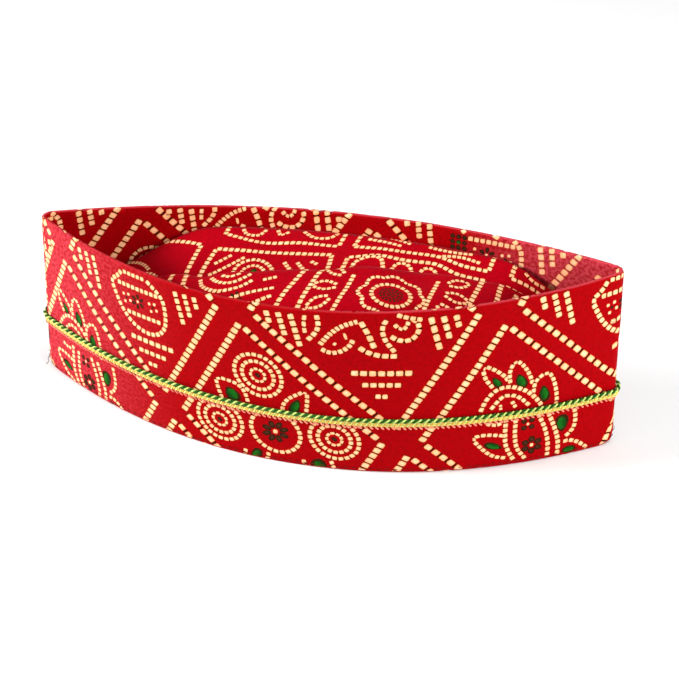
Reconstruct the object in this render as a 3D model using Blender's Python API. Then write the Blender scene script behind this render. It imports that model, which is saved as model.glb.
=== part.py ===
"""A folding cloth cap, the boat-shaped topi of western India, standing open on its rim.

A stiff doubled cuff runs right round the cap and comes to a fold at each end. Inside it stands a
thinner inner band, sewn to the cuff at the rim, and the crown panel closes the inner band a
little below the cuff's top edge. Two rows of braid run round the cuff. Metres, +Z up, with the
origin under the middle of the rim. The folds lie at -X and +X, and the fuller side is -Y.
"""

import math

import bmesh
import bpy

# Plan of the cap: a lens with a rounded fold at each end, fuller on one side than on the other.
RIM_HALF_LENGTH = 0.1385
EDGE_HALF_LENGTH = 0.1325
FULL_SIDE_RIM_BULGE = 0.0484
FULL_SIDE_EDGE_BULGE = 0.0508
FLAT_SIDE_RIM_BULGE = 0.0300
FLAT_SIDE_EDGE_BULGE = 0.0293
BULGE_POWER = 2.05
FOLD_RADIUS = 0.0040
FOLD_Y = 0.0101

# Side view of the cuff.
CUFF_HEIGHT = 0.0890
PEAK_TILT = 0.0037
PEAK_RISE = 0.0019
EDGE_CORNER = 0.0016
RIM_CORNER = 0.0085

# Cloth and gaps.
CUFF_CLOTH = 0.0019
BAND_CLOTH = 0.0012
CROWN_CLOTH = 0.0014
CUFF_TO_BAND = 0.0004
SEAM_GAP = 0.0003
RIM_TURN = 0.0004
BAND_RIM_HEIGHT = 0.0006
BAND_SET_BACK = 0.0090
SEAM_ALLOWANCE = 0.0018

# The crown's seam lies this far below the cuff's edge, and droops towards both folds.
SEAM_DEPTH = 0.0105
LEFT_DROOP = 0.0310
LEFT_DROOP_START = 0.45
RIGHT_DROOP = 0.0175
RIGHT_DROOP_START = 0.64

# The crown across the cap, by share of the length from -1 to 1: where its crease and its crest
# lie, as a share of the way from the flat side (0) to the full side (1), and how far they are
# below and above the seam.
CROWN_SECTIONS = [
    # share, crease_at, crest_at, crease_depth, crest_height
    (-1.00, 0.50, 0.68, 0.0000, 0.0000),
    (-0.75, 0.60, 0.78, 0.0010, 0.0045),
    (-0.58, 0.58, 0.79, 0.0062, 0.0020),
    (-0.43, 0.54, 0.77, 0.0076, 0.0032),
    (-0.27, 0.49, 0.72, 0.0048, 0.0070),
    (0.00, 0.40, 0.60, 0.0029, 0.0082),
    (0.20, 0.31, 0.49, 0.0024, 0.0068),
    (0.45, 0.28, 0.42, 0.0028, 0.0030),
    (0.62, 0.30, 0.42, 0.0042, 0.0000),
    (0.78, 0.36, 0.50, 0.0036, -0.0008),
    (1.00, 0.50, 0.68, 0.0000, 0.0000),
]
SHOULDER_AT = 0.45
SHOULDER_SHARE = 0.86

# Braid round the cuff.
BRAID_HEIGHT = 0.0318
GREEN_CORD_RADIUS = 0.0010
GOLD_BRAID_HEIGHT = 0.0024
GOLD_BRAID_THICKNESS = 0.0013
BRAID_GAP = 0.0002

# Facets.
SIDE_STEPS = 30
FOLD_STEPS = 7
CROWN_ROWS = 14
CORD_SIDES = 8


def mix(low, high, share):
    return low + (high - low) * share


def smooth(share):
    share = min(1.0, max(0.0, share))
    return share * share * (3.0 - 2.0 * share)


def stations():
    """Places round the cap: (along, turn), turn going from 0 on the full side to 1 on the flat."""
    spread = [math.sin(math.pi * (k / SIDE_STEPS - 0.5)) for k in range(SIDE_STEPS + 1)]
    turns = [k / FOLD_STEPS for k in range(1, FOLD_STEPS)]
    full_side = [(along, 0.0) for along in spread]
    right_fold = [(1.0, turn) for turn in turns]
    flat_side = [(along, 1.0) for along in reversed(spread)]
    left_fold = [(-1.0, turn) for turn in reversed(turns)]
    return full_side + right_fold + flat_side + left_fold


def plan_point(along, turn, height, inset, set_back=0.0):
    """A point of the cap's plan, inset from the outer face of the cuff, at a height."""
    rise = height / CUFF_HEIGHT
    length = mix(RIM_HALF_LENGTH, EDGE_HALF_LENGTH, rise) - FOLD_RADIUS - set_back * rise
    full = mix(FULL_SIDE_RIM_BULGE, FULL_SIDE_EDGE_BULGE, rise) - FOLD_RADIUS
    flat = mix(FLAT_SIDE_RIM_BULGE, FLAT_SIDE_EDGE_BULGE, rise) - FOLD_RADIUS
    fullness = 1.0 - abs(along) ** BULGE_POWER
    slope = math.copysign(BULGE_POWER * abs(along) ** (BULGE_POWER - 1.0), along)
    full_facing = math.atan2(-length, full * slope)
    flat_facing = math.atan2(length, flat * slope)
    if along < 0:
        full_facing += 2 * math.pi
    facing = mix(full_facing, flat_facing, turn)
    bulge = flat if turn == 1.0 else -full
    reach = FOLD_RADIUS - inset
    x = length * along + reach * math.cos(facing)
    y = FOLD_Y + bulge * fullness + reach * math.sin(facing)
    return (x, y, height)


def edge_height(along):
    return CUFF_HEIGHT + PEAK_TILT * along + PEAK_RISE * along * along


def corner_drop(along, turn, radius):
    """How far a rounded corner at the folds departs from a straight edge."""
    towards_fold = 1.0 - abs(2.0 * turn - 1.0)
    short = radius - RIM_HALF_LENGTH * (1.0 - abs(along)) - FOLD_RADIUS * (1.0 - towards_fold)
    if short <= 0:
        return 0.0
    return radius - math.sqrt(max(0.0, radius * radius - short * short))


def cuff_top(along, turn):
    return edge_height(along) - corner_drop(along, turn, EDGE_CORNER)


def cuff_bottom(along, turn):
    return corner_drop(along, turn, RIM_CORNER)


def seam_height(along):
    """Height of the crown's seam."""
    if along < 0:
        start, droop = LEFT_DROOP_START, LEFT_DROOP
    else:
        start, droop = RIGHT_DROOP_START, RIGHT_DROOP
    share = (abs(along) - start) / (1.0 - start)
    return edge_height(along) - SEAM_DEPTH - droop * smooth(share)


def crown_section(along):
    """The row of CROWN_SECTIONS at a share of the length, worked out between its neighbours."""
    for low, high in zip(CROWN_SECTIONS, CROWN_SECTIONS[1:]):
        if along <= high[0]:
            share = smooth((along - low[0]) / (high[0] - low[0]))
            return [mix(a, b, share) for a, b in zip(low[1:], high[1:])]
    return list(CROWN_SECTIONS[-1][1:])


def crown_lift(along, across):
    """Height of the crown above its seam, across going from 0 at the flat side to 1."""
    crease_at, crest_at, crease_depth, crest_height = crown_section(along)
    shoulder_at = mix(crest_at, 1.0, SHOULDER_AT)
    knots = [
        (0.0, 0.0),
        (crease_at, -crease_depth),
        (crest_at, crest_height),
        (shoulder_at, crest_height * SHOULDER_SHARE),
        (1.0, 0.0),
    ]
    for (from_at, from_lift), (to_at, to_lift) in zip(knots, knots[1:]):
        if across <= to_at:
            share = (across - from_at) / (to_at - from_at)
            if to_at == 1.0:
                share = share * share
            elif from_at > 0.0:
                share = smooth(share)
            return mix(from_lift, to_lift, share)
    return 0.0


def cloth_material(name, colour, roughness, metallic=0.0):
    material = bpy.data.materials.new(name)
    material.use_nodes = True
    shader = material.node_tree.nodes["Principled BSDF"]
    shader.inputs["Base Color"].default_value = (*colour, 1.0)
    shader.inputs["Roughness"].default_value = roughness
    shader.inputs["Metallic"].default_value = metallic
    return material


def add_object(name, shape, material):
    """An object of one closed body, shaded smooth, with its faces outward."""
    bmesh.ops.recalc_face_normals(shape, faces=shape.faces)
    mesh = bpy.data.meshes.new(name)
    shape.to_mesh(mesh)
    shape.free()
    mesh.materials.append(material)
    mesh.shade_smooth()
    mesh.set_sharp_from_angle(angle=math.radians(50))
    obj = bpy.data.objects.new(name, mesh)
    bpy.context.scene.collection.objects.link(obj)
    return obj


def ring_solid(name, sections, material):
    """A closed ring: each station's closed profile is joined to the next station's."""
    shape = bmesh.new()
    loops = [[shape.verts.new(point) for point in section] for section in sections]
    for here, after in zip(loops, loops[1:] + loops[:1]):
        for k in range(len(here)):
            nxt = (k + 1) % len(here)
            shape.faces.new((here[k], after[k], after[nxt], here[nxt]))
    return add_object(name, shape, material)


def cuff(material):
    """The doubled outer wall, with a turned top edge and a flat rim."""
    top_round = [(0.0, 0.5), (0.1, 0.2), (0.3, 0.0), (0.7, 0.0), (0.9, 0.2), (1.0, 0.5)]
    sections = []
    for along, turn in stations():
        low, high = cuff_bottom(along, turn), cuff_top(along, turn)
        profile = [(RIM_TURN, low), (0.0, low + RIM_TURN)]
        profile += [(0.0, mix(low, high, share)) for share in (0.35, 0.7)]
        profile += [(CUFF_CLOTH * i, high - CUFF_CLOTH * d) for i, d in top_round]
        profile += [(CUFF_CLOTH, mix(low, high, share)) for share in (0.7, 0.35)]
        profile += [(CUFF_CLOTH, low + RIM_TURN), (CUFF_CLOTH - RIM_TURN, low)]
        sections.append([plan_point(along, turn, height, inset) for inset, height in profile])
    return ring_solid("cuff", sections, material)


def inner_band(material):
    """The thin wall of the cap proper, which leans in from the cuff towards both folds."""
    outside = CUFF_CLOTH + CUFF_TO_BAND
    inside = outside + BAND_CLOTH
    shares = [0.0, 0.35, 0.7, 1.0]
    sections = []
    for along, turn in stations():
        low = cuff_bottom(along, turn) + BAND_RIM_HEIGHT
        high = seam_height(along) - CROWN_CLOTH - SEAM_GAP
        heights = [mix(low, high, share) for share in shares]
        profile = [(outside, height) for height in heights]
        profile += [(inside, height) for height in reversed(heights)]
        points = [plan_point(along, turn, z, inset, BAND_SET_BACK) for inset, z in profile]
        sections.append(points)
    return ring_solid("inner_band", sections, material)


def crown_columns():
    """Pairs of facing stations, from the left fold to the right one."""
    turns = [k / FOLD_STEPS for k in range(1, FOLD_STEPS // 2 + 1)]
    spread = [math.sin(math.pi * (k / SIDE_STEPS - 0.5)) for k in range(SIDE_STEPS + 1)]
    columns = [(-1.0, turn) for turn in reversed(turns)]
    columns += [(along, 0.0) for along in spread]
    columns += [(1.0, turn) for turn in turns]
    return columns


def crown(material):
    """The top panel: creased lengthwise, sunk on the flat side and puffed up on the full side."""
    inset = CUFF_CLOTH + CUFF_TO_BAND
    shape = bmesh.new()
    columns = []
    for along, turn in crown_columns():
        seam = seam_height(along)
        full = plan_point(along, turn, seam, inset, BAND_SET_BACK)
        flat = plan_point(along, 1.0 - turn, seam, inset, BAND_SET_BACK)
        width = math.hypot(full[0] - flat[0], full[1] - flat[1])
        hem = min(0.3, SEAM_ALLOWANCE / width)
        inner = [mix(hem, 1.0 - hem, row / CROWN_ROWS) for row in range(CROWN_ROWS + 1)]
        upper, lower = [], []
        for across in [0.0] + inner + [1.0]:
            x, y = mix(flat[0], full[0], across), mix(flat[1], full[1], across)
            lift = crown_lift(along, (across - hem) / (1.0 - 2.0 * hem)) if hem < across else 0.0
            upper.append(shape.verts.new((x, y, seam + lift)))
            lower.append(shape.verts.new((x, y, seam + lift - CROWN_CLOTH)))
        columns.append((upper, lower))
    for (up, low), (next_up, next_low) in zip(columns, columns[1:]):
        for row in range(len(up) - 1):
            shape.faces.new((up[row], up[row + 1], next_up[row + 1], next_up[row]))
            shape.faces.new((low[row], next_low[row], next_low[row + 1], low[row + 1]))
        shape.faces.new((up[0], next_up[0], next_low[0], low[0]))
        shape.faces.new((up[-1], low[-1], next_low[-1], next_up[-1]))
    for up, low in (columns[0], columns[-1]):
        for row in range(len(up) - 1):
            shape.faces.new((up[row], up[row + 1], low[row + 1], low[row]))
    return add_object("crown", shape, material)


def braid_ring(name, centre_height, half_height, half_thickness, material):
    """A rounded strip that follows the cuff's outer face."""
    grow = 1.0 / math.cos(math.pi / CORD_SIDES)
    sections = []
    for along, turn in stations():
        section = []
        for side in range(CORD_SIDES):
            angle = 2 * math.pi * (side + 0.5) / CORD_SIDES
            inset = -(BRAID_GAP + half_thickness * (1.0 + grow * math.cos(angle)))
            height = centre_height + half_height * grow * math.sin(angle)
            section.append(plan_point(along, turn, height, inset))
        sections.append(section)
    return ring_solid(name, sections, material)


def main():
    for obj in list(bpy.data.objects):
        bpy.data.objects.remove(obj, do_unlink=True)
    print_cotton = cloth_material("print_cotton", (0.62, 0.008, 0.02), 0.85)
    green_thread = cloth_material("green_thread", (0.03, 0.22, 0.04), 0.6)
    gold_thread = cloth_material("gold_thread", (0.80, 0.62, 0.15), 0.45, 0.3)
    cuff(print_cotton)
    inner_band(print_cotton)
    crown(print_cotton)
    green_half = GREEN_CORD_RADIUS
    gold_half = GOLD_BRAID_HEIGHT / 2
    gold_middle = BRAID_HEIGHT - green_half - BRAID_GAP - gold_half
    braid_ring("green_cord", BRAID_HEIGHT, green_half, green_half, green_thread)
    braid_ring("gold_braid", gold_middle, gold_half, GOLD_BRAID_THICKNESS / 2, gold_thread)


main()
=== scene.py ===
# A boat-shaped folding cap of printed cotton, standing open on its rim.

import math

import bmesh
import bpy
import numpy as np
from mathutils import Matrix, Vector
from mathutils.geometry import delaunay_2d_cdt


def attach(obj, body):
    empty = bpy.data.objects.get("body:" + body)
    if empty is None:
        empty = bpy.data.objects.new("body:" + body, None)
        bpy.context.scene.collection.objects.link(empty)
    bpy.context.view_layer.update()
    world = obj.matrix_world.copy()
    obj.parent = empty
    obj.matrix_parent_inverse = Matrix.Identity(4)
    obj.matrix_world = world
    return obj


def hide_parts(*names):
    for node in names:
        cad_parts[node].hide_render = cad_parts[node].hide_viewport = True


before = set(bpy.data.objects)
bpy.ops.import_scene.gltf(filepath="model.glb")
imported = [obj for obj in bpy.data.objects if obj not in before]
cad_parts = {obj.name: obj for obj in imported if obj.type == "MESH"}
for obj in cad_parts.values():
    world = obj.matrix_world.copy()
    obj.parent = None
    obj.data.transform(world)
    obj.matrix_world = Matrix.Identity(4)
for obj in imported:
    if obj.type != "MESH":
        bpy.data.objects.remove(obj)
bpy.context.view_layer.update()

# The cuff.
# A strip of stiffened cotton, doubled over a rounded top edge and a turned rim, which runs right
# round the cap and is pressed into a fold at each end. The cloth is red with a print that copies
# tie-dye work: rows of cream squares, green leaves and dark maroon flowers. Sizes in millimetres.
rim_half_length, edge_half_length = 138.5, 132.5
full_rim_bulge, full_edge_bulge = 48.4, 50.8
flat_rim_bulge, flat_edge_bulge = 30.0, 29.3
bulge_power = 2.05
fold_radius = 4.0
fold_y = 10.1
cuff_height = 89.0
peak_tilt, peak_rise = 3.7, 1.9
edge_corner, rim_corner = 1.6, 8.5
cuff_cloth = 1.9
wall_span = 88.0
turn_span = 3.0
around_steps, up_steps = 220, 30


def lens(along, turn, height, inset, set_back=0.0):
    """Points of the cap's plan, inset from the cuff's outer face. turn is 0 on the full side."""
    rise = height / cuff_height
    length = rim_half_length + (edge_half_length - rim_half_length) * rise
    length = length - fold_radius - set_back * rise
    full = full_rim_bulge + (full_edge_bulge - full_rim_bulge) * rise - fold_radius
    flat = flat_rim_bulge + (flat_edge_bulge - flat_rim_bulge) * rise - fold_radius
    reach = np.abs(along)
    slope = np.sign(along) * bulge_power * reach ** (bulge_power - 1.0)
    full_facing = np.arctan2(-length, full * slope)
    full_facing = np.where(along < 0, full_facing + 2 * np.pi, full_facing)
    flat_facing = np.arctan2(length, flat * slope)
    facing = full_facing + (flat_facing - full_facing) * turn
    bulge = np.where(turn > 0.5, flat, -full)
    x = length * along + (fold_radius - inset) * np.cos(facing)
    y = fold_y + bulge * (1.0 - reach**bulge_power) + (fold_radius - inset) * np.sin(facing)
    return np.stack([x, y, height + 0.0 * x], axis=-1)


sweep = np.sin(np.linspace(-np.pi / 2, np.pi / 2, 401))
fold_turns = np.linspace(0.0, 1.0, 25)[1:-1]
ring_along = np.concatenate([sweep, fold_turns * 0 + 1, sweep[::-1], fold_turns * 0 - 1, [-1.0]])
ring_turn = np.concatenate([sweep * 0, fold_turns, sweep * 0 + 1, fold_turns[::-1], [0.0]])
ring_points = lens(ring_along, ring_turn, 0 * ring_along + cuff_height / 2, 0.0)
ring_run = np.concatenate([[0.0], np.cumsum(np.linalg.norm(np.diff(ring_points, axis=0), axis=1))])
around = ring_run[-1]


def corner_drop(along, turn, radius):
    """How far a rounded corner at the folds departs from a straight edge."""
    towards = 1.0 - np.abs(2.0 * turn - 1.0)
    short = radius - rim_half_length * (1.0 - np.abs(along)) - fold_radius * (1.0 - towards)
    short = np.clip(short, 0.0, radius)
    return radius - np.sqrt(radius * radius - short * short)


def edge_height(along):
    """Height of the cuff's top edge, which rises to a peak at each fold."""
    return cuff_height + peak_tilt * along + peak_rise * along**2


def cloth_ease(u, w):
    """The slight give of hand-pressed cloth, outward in millimetres."""
    ease = 0.30 * np.sin(u / 27.0 + 0.8) * np.sin(w / 24.0 + 0.5)
    ease += 0.16 * np.sin(u / 9.5 + 1.7 * np.sin(w / 21.0)) * np.sin(w / 14.0 + 1.0)
    ease += 0.06 * np.sin(u / 3.1 + w / 5.0) * np.sin(w / 8.0)
    return ease


def cuff_place(spots):
    """Where a spot of the cuff's cloth lies, u round the cap and w up, over and down inside."""
    u, w = spots[:, 0], spots[:, 1]
    along = np.interp(u, ring_run, ring_along)
    turn = np.interp(u, ring_run, ring_turn)
    low = corner_drop(along, turn, rim_corner)
    high = edge_height(along) - corner_drop(along, turn, edge_corner)
    half = cuff_cloth / 2
    span = high - low - 2 * half
    over = np.pi * (w - wall_span) / turn_span
    under = np.pi * (w - 2 * wall_span - turn_span) / turn_span
    bands = [w <= wall_span, w <= wall_span + turn_span, w <= 2 * wall_span + turn_span]
    inset = np.select(
        bands, [0 * w, half * (1 - np.cos(over)), 0 * w + 2 * half], half * (1 + np.cos(under))
    )
    up = low + half + span * w / wall_span
    down = high - half - span * (w - wall_span - turn_span) / wall_span
    top = high - half + half * np.sin(over)
    height = np.select(bands, [up, top, down], low + half - half * np.sin(under))
    fade = np.clip(height / 6.0, 0.0, 1.0)
    ease = cloth_ease(u, height) * fade * np.sqrt(np.clip(np.sin(np.pi * u / around), 0.0, 1.0))
    return lens(along, turn, height, inset - np.maximum(ease, -0.25))


ground, cream, leaf_green, petal_brown, spaced_cream = range(5)
last_ink = spaced_cream


def rounded_line(knots, closed=False):
    """A smooth line through a few knots."""
    knots = [np.array(k, float) for k in knots]
    count = len(knots)
    spans = count if closed else count - 1
    line = []
    for k in range(spans):
        before = knots[(k - 1) % count] if closed or k > 0 else 2 * knots[0] - knots[1]
        a, b = knots[k], knots[(k + 1) % count]
        last = 2 * knots[-1] - knots[-2]
        after = knots[(k + 2) % count] if closed or k + 2 < count else last
        for t in np.linspace(0.0, 1.0, 9)[:-1]:
            line.append(
                0.5
                * (
                    2 * a
                    + (b - before) * t
                    + (2 * before - 5 * a + 4 * b - after) * t * t
                    + (3 * a - before - 3 * b + after) * t**3
                )
            )
    line.append(knots[0] if closed else knots[-1])
    return np.array(line)


def dash_row(line, width=2.3, pitch=2.9, ink=cream):
    """A row of printed squares along a line: marks of ink, outline, centre, half length, half width."""
    line = np.asarray(line, float)
    run = np.concatenate([[0.0], np.cumsum(np.linalg.norm(np.diff(line, axis=0), axis=1))])
    count = max(1, int(round(run[-1] / pitch)))
    stops = np.linspace(0.0, run[-1], count + 1)
    points = np.stack([np.interp(stops, run, line[:, k]) for k in (0, 1)], axis=1)
    ahead = np.stack([np.interp(stops + 0.3, run, line[:, k]) for k in (0, 1)], axis=1)
    behind = np.stack([np.interp(stops - 0.3, run, line[:, k]) for k in (0, 1)], axis=1)
    if np.linalg.norm(line[0] - line[-1]) < 1e-6:
        behind[0], ahead[-1] = behind[-1], ahead[0]
    heading = ahead - behind
    heading /= np.linalg.norm(heading, axis=1)[:, None]
    side = np.stack([-heading[:, 1], heading[:, 0]], axis=1) * width / 2
    marks = []
    for a, b, s, t in zip(points, points[1:], side, side[1:]):
        outline = np.array([a - s, b - t, b + t, a + s])
        marks.append((ink, outline, (a + b) / 2, (b - a) / 2, (s + t) / 2))
    return marks


def oval(centre, long, wide, tilt=0.0, sides=10, point=0.0, ink=cream):
    """One printed spot, an oval, pointed at its far end if point is more than 0."""
    turn = np.linspace(0.0, 2 * np.pi, sides, endpoint=False)
    x = np.cos(turn) * long
    y = np.sin(turn) * wide * (1.0 - point * np.cos(turn))
    c, s = math.cos(math.radians(tilt)), math.sin(math.radians(tilt))
    ahead, across = np.array([c, s]), np.array([-s, c])
    centre = np.array(centre, float)
    outline = centre + x[:, None] * ahead + y[:, None] * across
    return (ink, outline, centre, ahead * long, across * wide)


def charted(rows):
    """Rows of squares from a chart, one to a line: width, pitch, then the spots it runs through."""
    marks = []
    for width, pitch, *line in rows:
        marks += dash_row(rounded_line(line) if len(line) > 2 else line, width, pitch)
    return marks


def ring_row(centre, radius, width=2.3, pitch=2.9, tall=1.06, lean=0.12):
    """A ring of printed squares, leaning a little as the cloth's bias does."""
    turn = np.linspace(0.0, 2 * np.pi, 49)
    x, y = radius * np.cos(turn), radius * tall * np.sin(turn)
    return dash_row(np.stack([x + lean * y, y], axis=1) + np.array(centre), width, pitch)


def flower(centre, reach, petals=8, fat=1.0):
    """Dark petals round a cream eye."""
    marks = [oval(centre, reach * 0.20, reach * 0.20, sides=7)]
    for k in range(petals):
        tilt = 360.0 * (k + 0.5) / petals
        out = np.array([math.cos(math.radians(tilt)), math.sin(math.radians(tilt))])
        spot = np.array(centre) + out * reach * 0.66
        marks.append(oval(spot, reach * 0.36, reach * 0.235 * fat, tilt, 8, 0.0, petal_brown))
    return marks


def medallion(centre):
    """Two rings round a ring of dots and a dark eye."""
    marks = [oval(centre, 1.5, 1.1, 45, 8, 0.0, petal_brown)]
    marks += ring_row(centre, 3.6, 1.7, 2.6)
    marks += ring_row(centre, 7.6, 2.2, 2.8)
    marks += ring_row(centre, 11.2, 2.2, 2.9)
    return marks


def seed_leaf(centre, long, wide, tilt, outline, width=2.1):
    """A green leaf inside an outline of printed squares."""
    marks = [oval(centre, long * 0.60, wide * 0.62, tilt, 14, 0.35, leaf_green)]
    return marks + dash_row(rounded_line(outline), width, 2.8)


def spirals_motif():
    """Four medallions round a flower, with leaves between. The cell's peak is at 121.6, 10.4."""
    middle = np.array([136.8, 70.9])
    left = [(111.4, 57.6), (109.6, 52.0), (108.8, 46.0), (114.0, 45.6), (119.6, 47.0)]
    left += [(122.8, 51.2), (124.0, 56.4)]
    right = [(140.4, 57.4), (140.6, 54.2), (143.0, 50.0), (147.0, 46.8), (151.4, 44.4)]
    right += [(151.9, 49.4), (151.4, 56.6)]
    marks = []
    for way, turned in ((1.0, 0.0), (-1.0, 180.0)):
        medallions = middle + way * (np.array([(129.1, 39.0), (109.6, 70.9)]) - middle)
        marks += medallion(medallions[0]) + medallion(medallions[1])
        for long, wide, tilt, spots in (
            (7.6, 5.6, 235, [(116.4, 53.4), *left]),
            (8.0, 4.0, 290, [(146.3, 53.9), *right]),
        ):
            centre, *outline = middle + way * (np.array(spots) - middle)
            marks += seed_leaf(centre, long, wide, tilt + turned, outline)
    marks += flower(middle, 6.6) + ring_row(middle, 11.6, 2.3, 3.0)
    return marks


def pot_motif():
    """A lotus in a pot: petals with green seeds over two arches. The cell's peak is 236.6, 13."""
    left_petal = [(233.4, 45.6), (229.6, 39.6), (228.8, 33.4), (232.6, 34.8), (238.2, 39.6), (240.2, 43.0)]
    middle_petal = [(241.2, 44.6), (240.8, 38.0), (243.6, 32.8), (248.0, 37.4), (250.8, 43.6), (251.6, 47.0)]
    right_petal = [(252.2, 52.2), (253.2, 45.6), (258.9, 42.4), (262.2, 49.0), (263.6, 57.6), (263.2, 62.0)]
    left_leaf = [(239.2, 73.6), (231.0, 71.8), (225.0, 72.8), (228.4, 78.8), (234.0, 84.6), (240.4, 86.8)]
    right_leaf = [(272.0, 62.6), (273.4, 70.0), (272.6, 76.8), (268.6, 80.6)]
    marks = seed_leaf((235.0, 42.8), 6.0, 2.9, 238, left_petal)
    marks += seed_leaf((246.2, 44.4), 7.4, 4.2, 250, middle_petal)
    marks += seed_leaf((257.4, 53.6), 8.0, 4.2, 262, right_petal)
    outer_arch = [(227.8, 58.2), (230.4, 51.8), (235.2, 46.9), (241.6, 46.4), (249.2, 50.4)]
    outer_arch += [(254.6, 56.8), (256.4, 60.0)]
    marks += charted(
        [
            # the two arches and the stamens inside
            (2.3, 2.9, *outer_arch),
            (2.1, 2.9, (232.4, 57.6), (236.6, 52.4), (239.8, 50.8), (245.2, 52.6), (250.6, 58.6)),
            (1.6, 1.8, (237.0, 55.4), (237.2, 58.6)),
            (2.0, 2.3, (242.2, 54.4), (244.2, 58.6)),
        ]
    )
    marks += seed_leaf((234.2, 78.8), 7.6, 3.2, 22, left_leaf)
    marks += seed_leaf((266.8, 72.4), 8.2, 5.2, 88, right_leaf, 2.3)
    marks += charted(
        [
            # the pot's doubled sides, then the low leaf at its right and the curl at its left
            (2.3, 2.9, (239.8, 63.4), (239.6, 72.0), (240.2, 80.0), (244.0, 88.6)),
            (2.2, 2.9, (244.4, 64.8), (244.2, 74.0), (245.4, 82.0), (249.6, 89.0)),
            (2.3, 2.9, (254.8, 64.0), (258.4, 73.0), (260.2, 82.0), (260.0, 90.0)),
            (2.4, 2.9, (259.8, 64.6), (263.2, 74.0), (265.2, 82.0), (265.0, 90.0)),
            (2.2, 2.9, (267.6, 83.4), (271.0, 83.2), (276.0, 86.0), (280.0, 90.0)),
            (2.1, 2.7, (230.6, 65.2), (234.8, 66.8), (238.0, 66.0)),
        ]
    )
    marks += [oval((270.8, 88.4), 3.6, 2.0, 0, 10, 0.0, leaf_green)]
    return marks + flower((250.2, 69.0), 4.0, 4, 1.5) + flower((252.3, 81.4), 5.2, 6, 1.4)


def dash_rows_below(x, y):
    """Three centred rows that shorten downwards."""
    marks = dash_row([(x - 13.6, y), (x + 13.6, y)], 3.0, 3.9)
    marks += dash_row([(x - 8.8, y + 6.5), (x + 8.8, y + 6.5)], 2.7, 3.5)
    return marks + dash_row([(x - 3.0, y + 12.9), (x + 3.0, y + 12.9)], 2.6, 3.0)


def stack(x, y, way, pitch=3.7):
    """Three columns that hang side by side, each shorter than the last one."""
    marks = []
    for k, length in enumerate((18.2, 12.8, 7.2)):
        top = np.array([x + 5.4 * k * way, y])
        marks += dash_row([top, top + np.array([length * 0.24, length])], 2.8, pitch)
    return marks


def barrel_motif():
    """A rounded jar with rows of squares and a dark flower. The cell's peak is 47.1, -58.6."""
    jar = [(57.6, 1.2), (54.6, 5.4), (50.6, 8.6), (52.6, 14.4), (56.4, 21.6), (61.6, 27.4), (67.2, 30.6)]
    jar += [(74.0, 31.8), (80.4, 29.6), (84.2, 24.0), (84.7, 17.0), (83.4, 9.2), (79.6, 5.2), (73.6, 1.2)]
    marks = charted(
        [
            (2.6, 3.1, *jar),
            (2.3, 3.0, (58.4, 1.3), (72.4, 1.2)),
            (2.5, 3.0, (54.4, 8.3), (80.8, 8.0)),
            (2.5, 3.0, (60.0, 23.0), (81.8, 22.8)),
        ]
    )
    marks += flower((67.6, 15.3), 4.2, 6)
    dots = ((-2.0, -1.6), (1.2, -2.2), (2.4, 1.0), (-1.0, 2.4))
    for x in (60.4, 77.0):
        marks += [oval((x, 15.4), 0.9, 0.7, 45, 6, 0.0, petal_brown)]
        marks += [oval((x + a, 15.4 + b), 1.0, 0.9, 0, 6) for a, b in dots]
    return marks + dash_rows_below(75.2, 36.8) + stack(91.0, 1.0, 1) + stack(37.0, 0.4, -1)


def paisley_motif():
    """Two curled paisleys back to back. The cell's peak is 158.6, -58.6."""
    long_curl = [(188.4, 11.6), (192.0, 14.0), (197.0, 14.2), (200.4, 10.4), (200.6, 5.6), (197.6, 2.6)]
    marks = charted(
        [
            # the left paisley, above and below, and the stem between the two
            (2.6, 2.3, (158.0, 17.4), (162.4, 11.4), (167.6, 6.8), (174.8, 3.9)),
            (2.5, 2.8, (158.6, 19.4), (162.4, 21.4), (167.6, 20.2), (171.4, 16.6), (172.6, 13.6)),
            (2.7, 3.7, (175.6, 3.8), (179.4, 11.6), (181.8, 18.4)),
            (2.7, 3.4, (174.8, 17.6), (178.8, 20.4), (184.4, 22.2), (191.8, 22.6)),
            # the right paisley, with its curl and its cap
            (2.4, 3.5, (190.6, 20.6), (186.2, 13.6), (185.0, 7.4), (187.0, 3.0)),
            (2.6, 3.3, *long_curl),
            (2.2, 2.8, (190.0, 5.4), (193.4, 8.6), (196.0, 6.0), (196.2, 4.0)),
            (2.3, 3.2, (191.0, 0.6), (196.4, 2.4), (202.4, 3.6)),
            # two bent stalks at the left
            (2.5, 3.2, (156.8, 1.0), (157.6, 8.0), (154.4, 13.6), (152.6, 15.6)),
            (2.0, 3.4, (151.8, 1.6), (151.2, 6.4), (151.8, 12.0)),
        ]
    )
    marks += [oval((169.2, 12.0), 2.2, 0.7, 72, 8), oval((164.6, 16.4), 1.1, 0.8, -60, 6)]
    return marks + dash_rows_below(184.8, 32.0) + stack(205.6, 2.2, 1, 4.6) + stack(145.2, 1.6, -1)


cell_peak = np.array([121.6, 10.4])
left_pitch, right_pitch = np.array([-36.8, 68.6]), np.array([74.6, 68.6])
left_side, right_side = np.array([-31.6, 60.6]), np.array([63.6, 60.9])
# width and pitch of the squares in the lattice's two kinds of row
close_row, spaced_row = (3.4, 3.6), (3.1, 4.9)
motifs = [
    (np.array([120.8, 10.6]), spirals_motif()),
    (np.array([159.3, -57.7]), paisley_motif()),
    (np.array([234.7, 12.4]), pot_motif()),
    (np.array([47.6, -57.2]), barrel_motif()),
]


def moved(marks, shift, matrix=((1.0, 0.0), (0.0, 1.0))):
    """Marks carried to another place on the cloth."""
    turn = np.array(matrix, float).T
    result = []
    for ink, outline, centre, ahead, across in marks:
        result.append((ink, outline @ turn + shift, centre @ turn + shift, ahead @ turn, across @ turn))
    return result


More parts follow.
